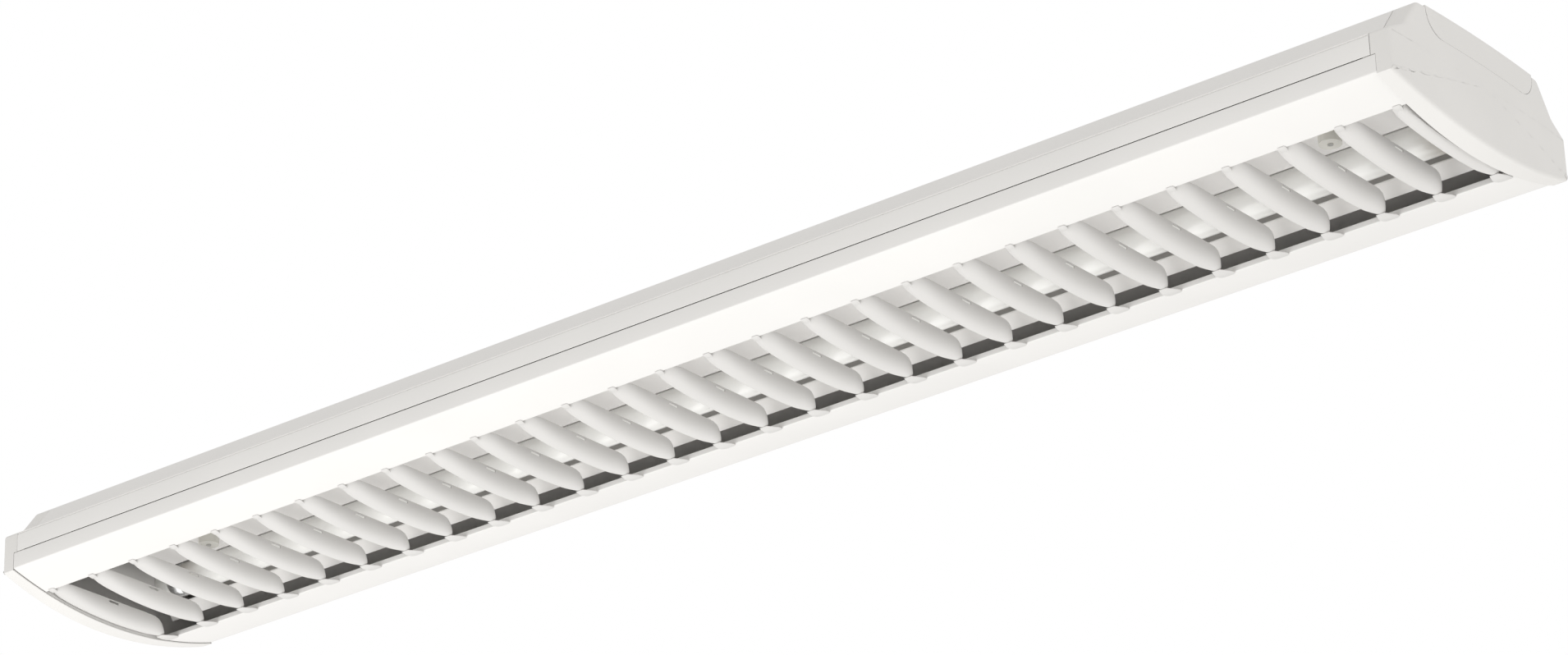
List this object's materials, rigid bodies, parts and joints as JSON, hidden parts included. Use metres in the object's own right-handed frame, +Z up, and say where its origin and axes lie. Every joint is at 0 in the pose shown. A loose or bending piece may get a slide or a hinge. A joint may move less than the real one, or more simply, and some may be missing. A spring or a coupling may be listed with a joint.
{
  "type": "surface-mounted louvre luminaire",
  "caption": "Long white surface-mounted ceiling luminaire for straight lamps, with moulded end caps and a curved cross-blade louvre that swings down on a side hinge.",
  "frame": {"origin": "centre of the flat ceiling face on top of the housing", "axes": "+X along the luminaire, +Y across it towards the hinged side of the louvre, +Z up to the ceiling"},
  "size_m": [1.28, 0.217, 0.0782],
  "materials": {
    "housing_paint": "semi-gloss white powder coat",
    "cap_plastic": "satin white moulding",
    "louvre_paint": "satin white coil coat",
    "reflector_paint": "gloss white coil coat",
    "holder_plastic": "satin white moulding",
    "zinc_steel": "bright zinc plate",
    "nylon": "natural nylon",
    "ballast_case": "satin white coated steel",
    "circuit_board": "green laminate with dark components",
    "terminal_plastic": "satin off-white moulding",
    "brass": "bright turned brass",
    "grommet_rubber": "matt black",
    "lead_green": "green and yellow insulation",
    "lead_white": "off-white insulation",
    "lamp_glass": "white powder-coated tube",
    "lamp_cap_metal": "satin drawn aluminium"
  },
  "bodies": {
    "fixture": {"housing_shell": "housing_paint", "end_cap_right": "cap_plastic", "end_cap_left": "cap_plastic", "entry_blank_right": "cap_plastic", "entry_blank_left": "cap_plastic", "cap_screws_right": "zinc_steel", "cap_screws_left": "zinc_steel", "hinge_pin_right": "zinc_steel", "hinge_pin_left": "zinc_steel", "lampholder_bracket_right": "housing_paint", "lampholder_bracket_left": "housing_paint", "lampholder_near_right": "holder_plastic", "lampholder_near_left": "holder_plastic", "lampholder_far_right": "holder_plastic", "lampholder_far_left": "holder_plastic", "reflector_tray": "reflector_paint", "tray_studs": "zinc_steel", "tray_nuts": "nylon", "ballast_base": "ballast_case", "ballast_cover": "ballast_case", "ballast_board": "circuit_board", "ballast_connectors": "terminal_plastic", "ballast_screws": "zinc_steel", "terminal_block": "terminal_plastic", "terminal_screws": "brass", "entry_grommet": "grommet_rubber", "earth_stud": "brass", "earth_nut": "brass", "lamp_leads_left": "lead_white", "lamp_leads_right": "lead_white", "mains_leads": "lead_white", "earth_lead": "lead_green", "lead_clips": "nylon", "spring_catches": "zinc_steel"},
    "louvre": {"louvre_rail_near": "housing_paint", "louvre_rail_far": "housing_paint", "side_reflector_far": "reflector_paint", "side_reflector_near": "reflector_paint", "cross_blades": "louvre_paint", "end_blade_right": "louvre_paint", "end_blade_left": "louvre_paint"},
    "lamp_near": {"lamp_tube_near": "lamp_glass", "lamp_caps_near": "lamp_cap_metal", "lamp_pins_near": "brass", "rotor_near_right": "holder_plastic", "rotor_near_left": "holder_plastic"},
    "lamp_far": {"lamp_tube_far": "lamp_glass", "lamp_caps_far": "lamp_cap_metal", "lamp_pins_far": "brass", "rotor_far_right": "holder_plastic", "rotor_far_left": "holder_plastic"}
  },
  "joints": [
    {"name": "louvre_hinge", "type": "hinge", "parent": "fixture", "child": "louvre", "pos_m": [0, 0.106, -0.0494], "axis": [1, 0, 0], "range_deg": [0, 90]},
    {"name": "lamp_near_twist", "type": "hinge", "parent": "fixture", "child": "lamp_near", "pos_m": [0, -0.044, -0.033], "axis": [1, 0, 0], "range_deg": [0, 90]},
    {"name": "lamp_far_twist", "type": "hinge", "parent": "fixture", "child": "lamp_far", "pos_m": [0, 0.044, -0.033], "axis": [1, 0, 0], "range_deg": [0, 90]}
  ]
}
